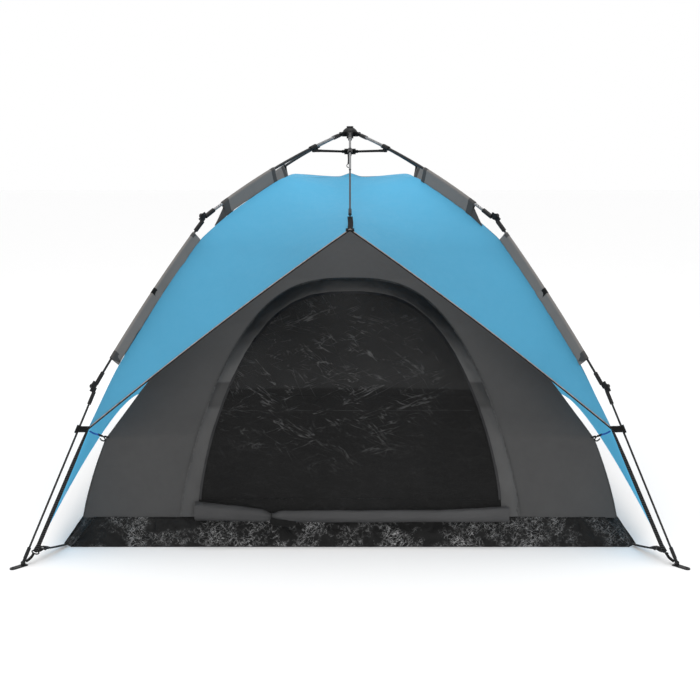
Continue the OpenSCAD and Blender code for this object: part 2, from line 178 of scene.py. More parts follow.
def new_object(name, verts, faces, material, uvs=None, smooth=True):
    mesh = bpy.data.meshes.new(name)
    mesh.from_pydata([tuple(v) for v in verts], [], faces)
    if uvs is not None:
        layer = mesh.uv_layers.new(name="UVMap")
        index = np.zeros(len(mesh.loops), np.int32)
        mesh.loops.foreach_get("vertex_index", index)
        layer.data.foreach_set("uv", np.asarray(uvs, np.float32)[index].ravel())
    mesh.polygons.foreach_set("use_smooth", [smooth] * len(mesh.polygons))
    mesh.materials.append(material)
    return add_object(name, mesh)


def metric_uv(points):
    """UV in metres over a grid: length along the middle row and the middle column."""
    rows, cols = points.shape[:2]
    across = np.linalg.norm(np.diff(points, axis=1), axis=2)
    along = np.linalg.norm(np.diff(points, axis=0), axis=2)
    u = np.concatenate([np.zeros((rows, 1)), np.cumsum(across, axis=1)], axis=1)
    u -= u[:, cols // 2 : cols // 2 + 1]
    v = np.concatenate([[0.0], np.cumsum(along.mean(axis=1))])
    return np.stack([u, np.repeat(v[:, None], cols, axis=1)], axis=2).reshape(-1, 2)


def grid_faces(rows, cols, wrap_rows=False, wrap_cols=False):
    """Four-sided faces over a grid of points, closed along an index that wraps."""
    faces = []
    for j in range(rows if wrap_rows else rows - 1):
        near, far = j * cols, (j + 1) % rows * cols
        for i in range(cols if wrap_cols else cols - 1):
            k = (i + 1) % cols
            faces.append((near + i, near + k, far + k, far + i))
    return faces


def grid_object(name, points, material, wrap=False):
    """A sheet over a grid of points; wrap closes it along the second index."""
    faces = grid_faces(*points.shape[:2], wrap_cols=wrap)
    return new_object(name, points.reshape(-1, 3), faces, material, metric_uv(points))


def frames_along(path, up):
    """Unit tangent, side and normal at each point of a path."""
    path = np.asarray(path, float)
    tangent = np.gradient(path, axis=0)
    tangent /= np.linalg.norm(tangent, axis=1)[:, None]
    side = np.cross(tangent, np.broadcast_to(np.asarray(up, float), path.shape))
    side /= np.linalg.norm(side, axis=1)[:, None]
    return tangent, side, np.cross(side, tangent)


def swept(name, path, section, material, up=(0, 0, 1), scale=None):
    """Sweeps a closed section of (side, normal) points along a path, with capped ends."""
    path = np.asarray(path, float)
    section = np.asarray(section, float)
    _, side, normal = frames_along(path, up)
    size = np.ones(len(path)) if scale is None else np.asarray(scale, float)
    points = (
        path[:, None]
        + side[:, None] * section[None, :, :1] * size[:, None, None]
        + normal[:, None] * section[None, :, 1:] * size[:, None, None]
    )
    rows, cols = points.shape[:2]
    # Turned over, so that the outside of the section faces out.
    faces = [(a, d, c, b) for a, b, c, d in grid_faces(rows, cols, wrap_cols=True)]
    faces.append(tuple(range(cols)))
    faces.append(tuple((rows - 1) * cols + i for i in reversed(range(cols))))
    around = np.concatenate([[0], np.cumsum(np.linalg.norm(np.diff(section, axis=0), axis=1))])
    along = np.concatenate([[0], np.cumsum(np.linalg.norm(np.diff(path, axis=0), axis=1))])
    uv = np.stack(np.broadcast_arrays(around[None, :], along[:, None]), axis=2).reshape(-1, 2)
    return new_object(name, points.reshape(-1, 3), faces, material, uv)


def circle(radius, n=12, squeeze=1.0):
    a = np.linspace(0, 2 * math.pi, n, endpoint=False)
    return np.stack([radius * np.cos(a), radius * squeeze * np.sin(a)], axis=1)


def flat_section(width, thick):
    """A tape's section with rounded edges."""
    w, t = width / 2, thick / 2
    return [(-w, 0), (-w + t, -t), (0, -t), (w - t, -t), (w, 0), (w - t, t), (0, t), (-w + t, t)]


def smooth_path(points, n=24):
    """A Catmull-Rom line through points."""
    p = [np.asarray(q, float) for q in points]
    p = [2 * p[0] - p[1], *p, 2 * p[-1] - p[-2]]
    spans = len(p) - 3
    out = []
    for i in range(n + 1):
        s = min(i / n * spans, spans - 1e-9)
        k = int(s)
        t = s - k
        a, b, c, d = p[k : k + 4]
        out.append(
            0.5 * (2 * b + (c - a) * t + (2 * a - 5 * b + 4 * c - d) * t * t + (3 * b - a - 3 * c + d) * t**3)
        )
    return np.array(out)


def strap(name, points, count, width, thick, up):
    """Webbing laid along a smooth line through a few points."""
    return swept(name, smooth_path(points, count), flat_section(width, thick), webbing, up=up)


def ring_path(centre, a, b):
    """A closed circle as an open path whose ends meet."""
    t = np.linspace(0, 2 * math.pi, 29)
    return np.asarray(centre, float) + np.cos(t)[:, None] * np.asarray(a) + np.sin(t)[:, None] * np.asarray(b)


def torus(name, centre, a, b, thick, material):
    """A ring through centre+a and centre+b with a round section."""
    centre, a, b = (np.asarray(v, float) for v in (centre, a, b))
    out = np.cross(a, b)
    out /= np.linalg.norm(out)
    points = []
    for angle in np.linspace(0, 2 * math.pi, 28, endpoint=False):
        spoke = math.cos(angle) * a + math.sin(angle) * b
        unit = spoke / np.linalg.norm(spoke)
        turn = np.linspace(0, 2 * math.pi, 10, endpoint=False)
        points.append([centre + spoke + thick * (math.cos(q) * unit + math.sin(q) * out) for q in turn])
    points = np.array(points)
    faces = [(a, d, c, b) for a, b, c, d in grid_faces(*points.shape[:2], True, True)]
    return new_object(name, points.reshape(-1, 3), faces, material, points.reshape(-1, 3)[:, :2])


def joined(name, objects):
    """Joins mesh objects into one, keeping their materials."""
    bpy.ops.object.select_all(action="DESELECT")
    for o in objects:
        o.select_set(True)
    bpy.context.view_layer.objects.active = objects[0]
    bpy.ops.object.join()
    objects[0].name = name
    objects[0].data.name = name
    return objects[0]


# ---------- materials ----------


BLACK = (0.007, 0.007, 0.0075, 1)


class Tree:
    """A material's node tree with short calls to add and link nodes."""

    def __init__(self, name):
        self.material = bpy.data.materials.new(name)
        self.material.use_nodes = True
        self.tree = self.material.node_tree
        self.shader = self.tree.nodes["Principled BSDF"]

    def add(self, kind, links=(), **settings):
        node = self.tree.nodes.new("ShaderNode" + kind)
        for key, value in settings.items():
            setattr(node, key, value)
        for socket, source in dict(links).items():
            if isinstance(source, (int, float, tuple)):
                node.inputs[socket].default_value = source
            else:
                self.tree.links.new(source, node.inputs[socket])
        return node

    def math(self, operation, a, b=0.0, clamp=False):
        return self.add("Math", {0: a, 1: b}, operation=operation, use_clamp=clamp).outputs[0]

    def plus(self, a, b, clamp=False):
        return self.math("ADD", a, b, clamp)

    def times(self, a, b):
        return self.math("MULTIPLY", a, b)

    def split(self, vector):
        return self.add("SeparateXYZ", {0: vector}).outputs

    def remap(self, value, low, high, to_low, to_high):
        links = {"Value": value, "From Min": low, "From Max": high, "To Min": to_low, "To Max": to_high}
        return self.add("MapRange", links).outputs[0]

    def spread(self, value, to_low, to_high):
        """Maps the usual range of a noise, 0.3 to 0.7."""
        return self.remap(value, 0.3, 0.7, to_low, to_high)

    def noise(self, vector, scale, detail=2.0, rough=0.5, distortion=0.0):
        links = {"Vector": vector, "Scale": scale, "Detail": detail, "Roughness": rough}
        links["Distortion"] = distortion
        return self.add("TexNoise", links).outputs[0]

    def mapped(self, vector, scale):
        return self.add("Mapping", {"Vector": vector, "Scale": scale}).outputs[0]

    def bump(self, height, distance, strength=1.0, normal=None):
        links = {"Height": height, "Distance": distance, "Strength": strength}
        if normal is not None:
            links["Normal"] = normal
        return self.add("Bump", links).outputs[0]

    def tint(self, color, factor_low, factor_high, value):
        """color times a factor that runs from low to high as value runs from 0.3 to 0.7."""
        return self.scaled(color, self.spread(value, factor_low, factor_high))

    def grey(self, value):
        return self.add("CombineColor", {0: value, 1: value, 2: value}).outputs[0]

    def blend(self, factor, first, second, kind="MIX"):
        links = {0: factor, 6: first, 7: second}
        return self.add("Mix", links, data_type="RGBA", blend_type=kind).outputs[2]

    def scaled(self, color, factor):
        return self.blend(1.0, (*color, 1), self.grey(factor), "MULTIPLY")

    def set(self, **values):
        for key, value in values.items():
            self.shader.inputs[key.replace("_", " ")].default_value = value

    def link(self, output, socket):
        self.tree.links.new(output, self.shader.inputs[socket])


def uv_of(tree):
    return tree.add("TexCoord").outputs["UV"]


def place_of(tree):
    return tree.add("TexCoord").outputs["Object"]


def weave(tree, uv, pitch):
    """Height of a plain weave: threads over and under in two directions."""
    cross = tree.split(tree.mapped(uv, (math.pi / pitch,) * 3))
    a = tree.math("SINE", cross[0])
    b = tree.math("SINE", cross[1])
    return tree.times(a, b)


def cloth_material(name, color, pitch, rough, crease, tone=(0.93, 1.05), painted_glow=0.0, rise=0.0, painted_steps=()):
    """Woven, coated cloth: weave, soft creases and a slight change of tone.

    The glow is painted light: the inside faces of the cloth below 0.62 m glow in its own colour, for daylight
    through it.
    With the glow comes painted shade: the cloth darker below 1.22 m, most of all below 1.0 m.
    The rise is painted light too: a white glow that grows from 0.42 m up to 0.98 m.
    The steps add bands of painted shade and painted light by height.
    """
    t = Tree(name)
    uv, place = uv_of(t), place_of(t)
    broad = t.noise(place, 2.6, 3.0, 0.55)
    fine = t.noise(place, 38.0, 3.0, 0.6)
    height = t.split(place)[2]
    # Painted shade: the cloth darker lower down and lighter towards the roof, only where there is a glow.
    shade = t.remap(height, 1.0, 1.22, 0.74, 1.0) if painted_glow else 1.0
    # Bands of painted shade and painted light by height.
    for low, high, change in painted_steps:
        shade = t.plus(shade, t.remap(height, low, high, 0.0, change))
    level = t.times(t.spread(broad, tone[0], tone[1]), shade)
    t.link(t.scaled(color, level), "Base Color")
    normal = t.bump(weave(t, uv, pitch), pitch * 0.22, 0.5)
    folds = t.noise(t.mapped(place, (1.0, 1.0, 0.6)), 9.0, 4.0, 0.55, 0.6)
    t.link(t.bump(folds, crease, 0.6, normal), "Normal")
    t.link(t.spread(fine, rough - 0.06, rough + 0.06), "Roughness")
    t.set(Specular_IOR_Level=0.3)
    # Painted light: the inside faces glow low down, for daylight through the cloth.
    if painted_glow:
        outward = t.add("VectorMath", {0: place, 1: (0, 0, 0.25)}, operation="SUBTRACT").outputs[0]
        facing = t.add("NewGeometry").outputs["True Normal"]
        side = t.add("VectorMath", {0: outward, 1: facing}, operation="DOT_PRODUCT").outputs["Value"]
        low = t.remap(height, 0.5, 0.62, painted_glow, 0.0)
        t.link(t.times(t.remap(side, -0.02, 0.02, 1.0, 0.0), low), "Emission Strength")
        t.set(Emission_Color=(*color, 1))
    # Painted light: a white glow that grows with height, for daylight at the top.
    if rise:
        t.link(t.remap(height, 0.42, 0.98, 0.0, rise), "Emission Strength")
        t.set(Emission_Color=(1, 1, 1, 1))
    return t.material


def tape_material(name, color, pitch=0.0012, rough=0.75):
    """Woven tape with ribs across and a selvedge line."""
    t = Tree(name)
    uv, place = uv_of(t), place_of(t)
    split = t.split(t.mapped(uv, (math.pi / pitch, 2 * math.pi / pitch, 1.0)))
    ribs = t.math("SINE", split[1])
    rows = t.math("SINE", split[0])
    height = t.plus(t.times(rows, 0.5), ribs)
    t.link(t.tint(color, 0.8, 1.3, t.noise(place, 90.0)), "Base Color")
    t.link(t.bump(height, 0.0003, 0.6), "Normal")
    t.set(Roughness=rough, Sheen_Weight=0.03, Sheen_Roughness=0.5, Specular_IOR_Level=0.12)
    return t.material


def twill_material(name):
    """Black tape with a slanted pale thread, as at the fly's side edges."""
    t = Tree(name)
    place = place_of(t)
    split = t.split(t.mapped(place, (0.0, 500.0, 900.0)))
    slant = t.math("SINE", t.plus(split[1], split[2]))
    both = t.blend(t.remap(slant, 0.5, 0.9, 0.0, 1.0), BLACK, (0.06, 0.06, 0.062, 1))
    t.link(both, "Base Color")
    t.link(t.bump(slant, 0.0006, 0.6), "Normal")
    t.set(Roughness=0.7, Specular_IOR_Level=0.12)
    return t.material


def plastic_material(name, color, rough=0.42, grain=700.0):
    """Moulded plastic: fine grain, and scuffed lighter patches."""
    t = Tree(name)
    place = place_of(t)
    grainy = t.noise(place, grain, 2.0)
    patches = t.noise(place, 24.0, 4.0, 0.6)
    t.link(t.tint(color, 0.85, 1.5, patches), "Base Color")
    t.link(t.spread(patches, rough - 0.07, rough + 0.14), "Roughness")
    t.link(t.bump(grainy, 0.00012, 0.5), "Normal")
    t.set(Specular_IOR_Level=0.22)
    return t.material


def pole_material(name, color, spans, print_share):
    """Steel tube with drawn lines and a spiral print, bare over spans of radius and black elsewhere."""
    t = Tree(name)
    place = place_of(t)
    split = t.split(place)
    square = t.plus(t.math("POWER", split[0], 2.0), t.math("POWER", split[1], 2.0))
    radius = t.math("SQRT", square)
    bare = 0.0
    for low, high in spans:
        past_low = t.remap(radius, low, low + 0.0005, 0.0, 1.0)
        inside = t.times(past_low, t.remap(radius, high, high + 0.0005, 1.0, 0.0))
        bare = t.plus(bare, inside, clamp=True)
    drawn = t.noise(t.mapped(place, (260.0, 260.0, 30.0)), 1.0, 3.0, 0.6)
    spots = t.noise(place, 120.0, 3.0)
    turns = t.math("SINE", t.plus(t.times(radius, 1100.0), t.times(split[2], 700.0)))
    printed = t.remap(turns, -0.3, 0.3, 0.0, print_share)
    tone = t.blend(printed, t.tint(color, 0.85, 1.2, drawn), (0.05, 0.05, 0.052, 1))
    t.link(t.blend(bare, BLACK, tone), "Base Color")
    t.link(t.times(bare, 0.35), "Metallic")
    t.link(t.spread(spots, 0.32, 0.48), "Roughness")
    t.link(t.bump(drawn, 0.00008, 0.4), "Normal")
    t.set(Specular_IOR_Level=0.35)
    return t.material


def fibre_material(name):
    """Glass-fibre rod: black gloss with faint lengthwise streaks."""
    t = Tree(name)
    place = place_of(t)
    streaks = t.noise(t.mapped(place, (300.0, 300.0, 12.0)), 1.0, 3.0, 0.6)
    t.link(t.tint((0.006, 0.006, 0.0065), 0.7, 1.8, streaks), "Base Color")
    t.link(t.spread(streaks, 0.24, 0.4), "Roughness")
    t.link(t.bump(streaks, 0.00006, 0.4), "Normal")
    t.set(Coat_Weight=0.1, Coat_Roughness=0.2, Specular_IOR_Level=0.25)
    return t.material


def creases(t, place, angle, scale, stretch, sharp, seed):
    """Thin crease lines that run one way: 1 on a line and 0 between lines."""
    turned = t.add("VectorRotate", {"Vector": place, "Angle": angle}, rotation_type="Y_AXIS").outputs[0]
    links = {"Vector": turned, "Location": (seed, seed, seed), "Scale": (scale, scale, scale * stretch)}
    folds = t.noise(t.add("Mapping", links).outputs[0], 1.0, 4.0, 0.55, 0.5)
    ridge = t.math("SUBTRACT", 1.0, t.math("ABSOLUTE", t.math("SUBTRACT", t.times(folds, 2.0), 1.0)))
    return t.remap(ridge, sharp, 0.998, 0.0, 1.0)


def tub_material(name):
    """Woven polyethylene sheet, laminated and crumpled, with short sharp creases; pale glints on the creases
    are painted highlights in the base colour.
    """
    t = Tree(name)
    uv, place = uv_of(t), place_of(t)
    # Painted highlights: thin crease lines lit pale in the base colour, in patches, and most in front of the
    # door.
    falling = creases(t, place, 0.7, 18.0, 3.0, 0.968, 1.0)
    lines = t.plus(falling, creases(t, place, -0.8, 22.0, 2.6, 0.97, 5.0), clamp=True)
    fine = creases(t, place, 0.2, 58.0, 1.6, 0.945, 9.0)
    across = t.split(place)[0]
    glint_near_door = t.remap(t.math("ABSOLUTE", across), 0.30, 0.95, 1.0, 0.25)
    where = t.times(t.remap(t.noise(place, 9.0, 4.0, 0.65), 0.44, 0.60, 0.0, 1.0), glint_near_door)
    painted_glint = t.times(t.plus(lines, t.times(fine, 0.55), clamp=True), where)
    soft = t.noise(place, 26.0, 5.0, 0.65, 1.0)
    base = t.spread(soft, 0.004, 0.013)
    # Base colour: the dark sheet plus the painted glints.
    grey = t.plus(base, t.times(painted_glint, 0.5))
    t.link(t.grey(grey), "Base Color")
    normal = t.bump(weave(t, uv, 0.0016), 0.0002, 0.4)
    t.link(t.bump(t.plus(soft, t.times(painted_glint, 0.25)), 0.010, 0.85, normal), "Normal")
    t.link(t.spread(soft, 0.26, 0.44), "Roughness")
    t.set(Specular_IOR_Level=0.1)
    return t.material


# Angle, scale, stretch, sharpness and noise offset of each set of creases in the net, which are painted as
# highlight streaks.
NET_CREASES = (
    (-0.52, 3.2, 8.0, 0.976, 2.0),
    (-0.25, 3.6, 7.0, 0.98, 7.0),
    (-0.95, 3.4, 6.0, 0.98, 4.0),
    (0.3, 3.0, 8.0, 0.982, 11.0),
)


def mesh_material(name):
    """Fine black insect netting: threads with open cells between them, and sharp folding creases painted as
    pale highlight streaks; lower down the net has painted shade.
    """
    t = Tree(name)
    uv, place = uv_of(t), place_of(t)
    split = t.split(t.mapped(uv, (math.pi / 0.0014,) * 3))
    a = t.math("ABSOLUTE", t.math("SINE", split[0]))
    b = t.math("ABSOLUTE", t.math("SINE", split[1]))
    open_cell = t.times(a, b)
    t.link(t.remap(open_cell, 0.25, 0.9, 0.97, 0.88), "Alpha")
    lines = 0.0
    for angle, scale, stretch, sharp, seed in NET_CREASES:
        one = creases(t, place, angle, scale, stretch, sharp, seed)
        patch = t.remap(t.noise(t.mapped(place, (1.0, 1.0, 1.3)), 5.0 + seed, 3.0), 0.47, 0.6, 0.0, 1.0)
        lines = t.plus(lines, t.times(one, patch), clamp=True)
    # Painted highlights: the crease streaks gather in the middle of the door. Painted shade: below 0.51 m the
    # net is darker, for the darker inside seen through it.
    at = t.split(place)
    dx = t.times(t.plus(at[0], 0.08), 2.6)
    dz = t.times(t.math("SUBTRACT", at[2], 0.54), 3.8)
    away = t.plus(t.math("POWER", dx, 2.0), t.math("POWER", dz, 2.0))
    painted_streak = t.times(lines, t.remap(away, 0.3, 1.5, 1.0, 0.08))
    upper = t.remap(at[2], 0.503, 0.510, 0.42, 1.0)
    cloudy = t.spread(t.noise(place, 3.4, 3.0), 0.8, 1.25)
    # Base colour: the dark net with painted shade below 0.51 m, plus the painted highlight streaks.
    grey = t.plus(t.times(t.times(upper, cloudy), 0.018), t.times(painted_streak, 0.085))
    t.link(t.grey(grey), "Base Color")
    height = t.plus(t.times(painted_streak, 0.5), t.noise(place, 14.0, 4.0, 0.6))
    t.link(t.bump(height, 0.006, 0.8), "Normal")
    t.set(Roughness=0.55, Specular_IOR_Level=0.1)
    return t.material


# Radii where the steel tubes leave the hub, and where the clamp sits on a rib.
HUB_ARM = 0.1015
RIB_CLAMP_R = 0.05 + 0.36 * 0.921
# Painted shade and painted light on the storm flap, in bands by height: plain, dark patch, pale patch, then
# dark over the arch.
FLAP_SHADE_AND_LIGHT_STEPS = ((0.444, 0.456, -0.38), (0.529, 0.535, 0.75), (0.58, 0.70, -0.85))
FLY_BLUE = (0.078, 0.375, 0.60)
# The fly gets painted light on its inside faces and painted shade lower down.
fly_cloth = cloth_material("fly_cloth", FLY_BLUE, 0.0011, 0.66, crease=0.004, tone=(0.96, 1.04), painted_glow=0.8)
sleeve_cloth = cloth_material("sleeve_cloth", (0.165, 0.156, 0.149), 0.0012, 0.72, crease=0.003)
sleeve_dark = cloth_material("sleeve_dark", (0.055, 0.053, 0.052), 0.0012, 0.72, crease=0.003)
WALL_GREY, FLAP_GREY = (0.05, 0.05, 0.05), (0.052, 0.052, 0.052)
# The inner walls get painted light that grows towards the top.
inner_cloth = cloth_material("inner_cloth", WALL_GREY, 0.001, 0.7, crease=0.003, tone=(0.92, 1.08), rise=0.07)
flap_cloth = cloth_material("flap_cloth", FLAP_GREY, 0.001, 0.5, 0.008, tone=(0.75, 1.4), painted_steps=FLAP_SHADE_AND_LIGHT_STEPS)
roll_cloth = cloth_material("roll_cloth", (0.036, 0.036, 0.037), 0.001, 0.5, crease=0.01, tone=(0.8, 1.3))
piping = tape_material("piping", (0.30, 0.26, 0.24), 0.0016, 0.7)
flap_edge = tape_material("flap_edge", (0.06, 0.06, 0.06), 0.0016, 0.6)
cord_tape = twill_material("cord_tape")
webbing = tape_material("webbing", (0.006, 0.006, 0.006))
hem_tape = tape_material("hem_tape", (0.022, 0.02, 0.02), 0.002, 0.6)
elastic = tape_material("elastic", (0.02, 0.10, 0.42), 0.0014, 0.6)
plastic = plastic_material("plastic", (0.007, 0.007, 0.0075))
zip_coil = plastic_material("zip_coil", (0.012, 0.012, 0.013), 0.3, 900.0)
steel_leg = pole_material("steel_leg", (0.36, 0.36, 0.365), ((HUB_ARM, 0.235), (0.66, 0.9)), 1.0)
steel_rib = pole_material("steel_rib", (0.2, 0.2, 0.203), ((HUB_ARM, RIB_CLAMP_R),), 0.1)
fibre = fibre_material("fibre")
tub_sheet = tub_material("tub_sheet")
netting = mesh_material("netting")

for node_name, obj in NODES.items():
    if node_name.endswith("_upper_pole"):
        obj.data.materials[0] = steel_leg
    elif node_name in ("front_rib", "rear_rib"):
        obj.data.materials[0] = steel_rib
    elif node_name.endswith(("_mid_pole", "_lower_pole")):
        obj.data.materials[0] = fibre
    else:
        obj.data.materials[0] = plastic

# ---------- fly sheet ----------

# The fly's edge over a leg, as radius and height: flat under the hub, then hung from the poles.
HEM_R, HEM_MIDDLE_R, SIDE_BULGE = 1.54, 1.428, 0.03
EDGE = [(0.0, 1.2575), (0.02, 1.2565), (0.045, 1.2435), (0.09, 1.2415)]
EDGE += [(0.2, 1.2435), (0.33, 1.2485), (0.378, 1.2495)]
EDGE += [upper_at(s, 0.049) for s in np.linspace(0.50, 0.866, 7)]
EDGE += [upper_at(0.93, 0.051)] + [mid_at(s, 0.038) for s in np.linspace(0.1, 0.84, 9)]
EDGE += [(TAB_R, TAB_Z), (HEM_R, 0.055)]
EDGE_R = np.linspace(0, HEM_R, 600)
# Rounded by a running mean over 21 samples.
padded = np.pad(np.interp(EDGE_R, *zip(*EDGE)), 10, mode="reflect", reflect_type="odd")
EDGE_Z = np.convolve(padded, np.ones(21) / 21, mode="valid")
PEAK_Y, PEAK_Z = 0.83, 1.081
MID_Y = [0, 0.02, 0.045, 0.09, 0.16, 0.3, 0.5, PEAK_Y]
MID_Z = [1.2575, 1.2565, 1.2435, 1.2375, 1.218, 1.18, 1.135, PEAK_Z]


def edge_z(r):
    return np.interp(r, EDGE_R, EDGE_Z)


def fly_end_panel(sy):
    """The front or rear fly panel: from the hub's foot down to the arched V hem."""
    v = np.linspace(0, 1, 121)[:, None]
    u = np.linspace(-1, 1, 161)[None, :]
    a = np.abs(u)
    r = mix(0.004, TAB_R, v)
    y = mix(0.004, PEAK_Y, v)
    edge = np.stack(np.broadcast_arrays(CD * r, SD * r, edge_z(r)), axis=2)
    middle = np.stack(np.broadcast_arrays(0 * y, y, np.interp(y, MID_Y, MID_Z)), axis=2)
    p = mix(middle, edge, a[..., None])
    bend = 4 * a * (1 - a)
    p[..., 2] += 0.015 * bend * v**3 - 0.010 * bend * np.sin(math.pi * v) ** 2
    p[..., 0] *= np.sign(u)
    p[..., 1] *= sy
    return p


def fly_side_panel(sx):
    """A side fly panel: from the hub's foot down to the curved hem between the feet."""
    v = np.linspace(0, 1, 131)[:, None]
    u = np.linspace(-1, 1, 161)[None, :]
    crown = 1 - u * u
    r = mix(0.004, mix(HEM_R, HEM_MIDDLE_R, crown), v)
    x = CD * r + SIDE_BULGE * crown * np.clip((r - 1.0) / 0.43, 0, None)
    z = edge_z(r) - 0.024 * crown * np.sin(math.pi * np.minimum(1, r / 1.3))
    return np.stack([sx * x, u * SD * r, z], axis=2)


# Points nearer to a cutting plane than this count as on it.
TOUCH = 1e-6
SECTIONS = {"upper": (HIP, KNEE_1), "mid": (KNEE_1, KNEE_2), "lower": (KNEE_2, HEEL)}


def leg_directions(leg):
    """Unit direction down each leg section in the row frame."""
    return {
        part: (on_diagonal(leg, *q) - on_diagonal(leg, *p)).normalized() for part, (p, q) in SECTIONS.items()
    }


def knee_planes(leg):
    """A point and the normal of the plane that halves each knee."""
    way = leg_directions(leg)
    return (
        (on_diagonal(leg, *KNEE_1), (way["upper"] + way["mid"]).normalized()),
        (on_diagonal(leg, *KNEE_2), (way["mid"] + way["lower"]).normalized()),
    )


def crumple(obj, leg, part):
    """Works out the cloth's plane across its pole section, which nothing uses, and gives the piece its own
    mesh.
    """
    base = np.array(on_diagonal(leg, *SECTIONS[part][0]))
    points = np.array([v.co for v in obj.data.vertices]) - base
    d = np.array(leg_directions(leg)[part])
    flat = points - np.outer(points @ d, d)
    _, vectors = np.linalg.eigh(flat.T @ flat)
    normal = vectors[:, -1]
    normal -= d * (normal @ d)
    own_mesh(obj)


def cut_to_legs(obj, name, pairs, middle_axis):
    """Cuts a panel at its middle line and at the knees, and lets each part ride on its leg section.

    pairs maps the sign along the middle axis to a leg."""
    size = len(obj.data.vertices)
    tree = kdtree.KDTree(size)
    normals = np.zeros(size * 3, np.float32)
    obj.data.vertices.foreach_get("normal", normals)
    normals = normals.reshape(-1, 3)
    for i, v in enumerate(obj.data.vertices):
        tree.insert(v.co, i)
    tree.balance()
    made = []
    for sign, leg in pairs.items():
        knees = knee_planes(leg)
        middle = Vector((0, 0, 0))
        middle[middle_axis] = sign
        for k, part in enumerate(SECTIONS):
            planes = [(Vector((0, 0, 0)), -middle)]
            planes += [knees[k]] if k < 2 else []
            planes += [(knees[k - 1][0], -knees[k - 1][1])] if k else []
            bm = bmesh.new()
            bm.from_mesh(obj.data)
            for co, no in planes:
                parts = bm.verts[:] + bm.edges[:] + bm.faces[:]
                bmesh.ops.bisect_plane(bm, geom=parts, plane_co=co, plane_no=no, clear_outer=True, dist=TOUCH)
            mesh = bpy.data.meshes.new(f"{name}_{leg}_{part}")
            bm.to_mesh(mesh)
            bm.free()
            mesh.materials.append(obj.data.materials[0])
            # Normals come from the whole panel, so that the cuts do not show.
            smooth = []
            for v in mesh.vertices:
                near = tree.find_n(v.co, 3)
                n = sum(1 / (gap + 1e-5) * normals[i] for _, i, gap in near)
                smooth.append(tuple(n / np.linalg.norm(n)))
            mesh.normals_split_custom_set_from_vertices(smooth)
            piece = add_object(mesh.name, mesh)
            ride_piece(piece, f"{leg}_{part}")
            crumple(piece, leg, part)
            made.append(piece)
    bpy.data.objects.remove(obj)
    return made


fly_parts = []
for name, points, seed, legs, axis in (
    ("fly_front", fly_end_panel(-1), 1.3, ("fl", "fr"), 0),
    ("fly_rear", fly_end_panel(1), 1.3, ("rl", "rr"), 0),
    ("fly_left", fly_side_panel(-1), 2.1, ("fl", "rl"), 1),
    ("fly_right", fly_side_panel(1), 2.1, ("fr", "rr"), 1),
):
    panel = grid_object(name, wobble(points, 0.22, 0.0035, seed), fly_cloth)
    fly_parts += cut_to_legs(panel, name, dict(zip((-1, 1), legs)), axis)
for piece in fly_parts:
    f"{piece.name.split('_')[2]}_upper_pole"
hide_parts("fly")


def split_path(path, leg):
    """Splits a path of points at a leg's knee planes into the parts that go with each section."""
    path = np.asarray(path, float)
    kind = sum(((path - np.array(co)) @ np.array(no) > 0).astype(int) for co, no in knee_planes(leg))
    out = {}
    for i, part in enumerate(SECTIONS):
        index = np.flatnonzero(kind == i)
        if len(index):
            out[part] = path[index[0] : min(index[-1] + 1, len(path) - 1) + 1]
    return out


def edge_band(name, path, leg, width, thick, material, up):
    """A tape along a fly edge, in a piece for each leg section."""
    for part, points in split_path(path, leg).items():
        if len(points) < 3:
            continue
        band = swept(f"{name}_{leg}_{part}", points, flat_section(width, thick), material, up=up)
        ride_piece(band, f"{leg}_{part}")
        crumple(band, leg, part)


for leg, (sx, sy) in CORNERS.items():
    # V hem from the eave's peak down to the tab: pale piping, and a dark tape just below it.
    a = np.linspace(0, 1, 61)
    peak = np.array([0, sy * PEAK_Y, PEAK_Z])
    tab = np.array(on_diagonal(leg, TAB_R, TAB_Z))
    v_hem = peak + (tab - peak) * a[:, None]
    v_hem[:, 2] += 0.015 * 4 * a * (1 - a)
    v_hem[:, 1] += sy * 0.0015
    edge_band("v_hem", v_hem + [0, 0, 0.003], leg, 0.004, 0.003, piping, up=(0, -sy, 0.9))
    edge_band("v_edge", v_hem - [0, 0, 0.0015], leg, 0.006, 0.002, hem_tape, up=(0, -sy, 0.9))
    # Front or rear edge of the side panel, from the tab down to the ring at the foot.
    r = np.linspace(TAB_R, HEM_R, 20)
    side_edge = np.array([on_diagonal(leg, q, edge_z(q)) for q in r])
    side_edge = np.vstack([side_edge, smooth_path([side_edge[-1], on_diagonal(leg, 1.556, 0.036)], 3)[1:]])
    taper = np.interp(np.linspace(0, 1, len(side_edge)), [0, 0.25, 1], [0.6, 1, 1.1])
    tape = flat_section(0.013, 0.004)
    band = swept(f"side_edge_{leg}", side_edge, tape, cord_tape, up=(0, -sy, 0.3), scale=taper)
    ride_piece(band, f"{leg}_lower")
for leg in ("fl", "rl", "fr", "rr"):
    sx, sy = CORNERS[leg]
    u = np.linspace(-0.995, 0.995, 121)
    crown = 1 - u * u
    r = mix(HEM_R, HEM_MIDDLE_R, crown)
    hem = np.stack([sx * (CD * r + SIDE_BULGE * crown * (r - 1.0) / 0.43), u * SD * r, edge_z(r)], axis=1)
    half = hem[u * sy >= 0][::sy]
    edge_band("side_hem", half, leg, 0.012, 0.002, fly_cloth, up=(sx, 0, 0.4))

# ---------- pole sleeves ----------


